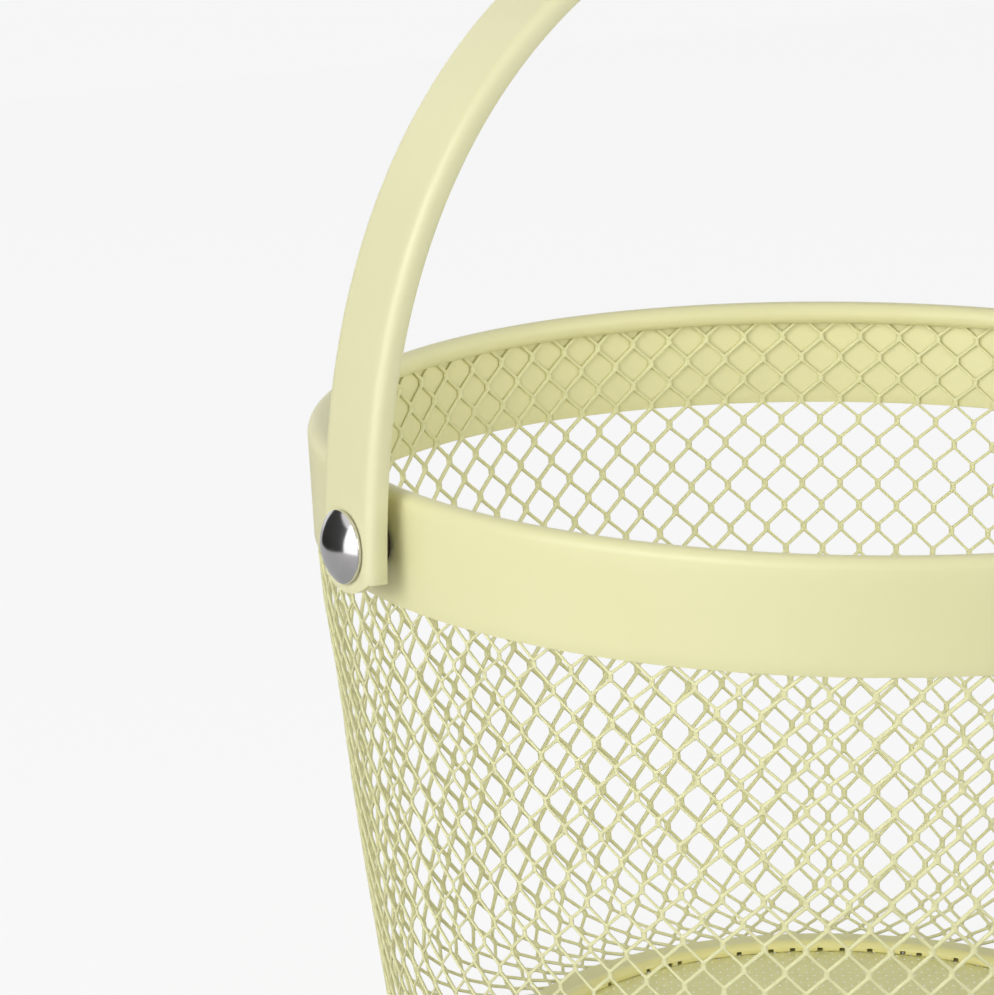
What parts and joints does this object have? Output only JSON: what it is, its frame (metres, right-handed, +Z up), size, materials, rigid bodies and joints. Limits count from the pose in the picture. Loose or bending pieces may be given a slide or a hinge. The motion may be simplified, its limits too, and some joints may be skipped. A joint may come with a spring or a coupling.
{
  "type": "metal basket",
  "caption": "Round tapered mesh basket with a solid rim band and a swing handle; it holds and carries small things.",
  "frame": {"origin": "on the table, under the middle of the basket", "axes": "+Z up, X along the axis that the handle swings about, Y across it"},
  "size_m": [0.2648, 0.24, 0.2761],
  "materials": {
    "coat": "satin powder coat, pale yellow-green",
    "steel": "polished",
    "dark_steel": "dark oxide"
  },
  "bodies": {
    "basket": {"rim_band": "coat", "wall_mesh": "coat", "base_ring": "coat", "base_mesh": "coat", "rivet_left": "steel", "rivet_right": "steel", "spacer_left": "dark_steel", "spacer_right": "dark_steel", "washer_left": "steel", "washer_right": "steel"},
    "handle": {"handle": "coat"}
  },
  "joints": [
    {"name": "handle_swing", "type": "hinge", "parent": "basket", "child": "handle", "pos_m": [0, 0, 0.138], "axis": [1, 0, 0], "range_deg": [-115, 115]}
  ]
}
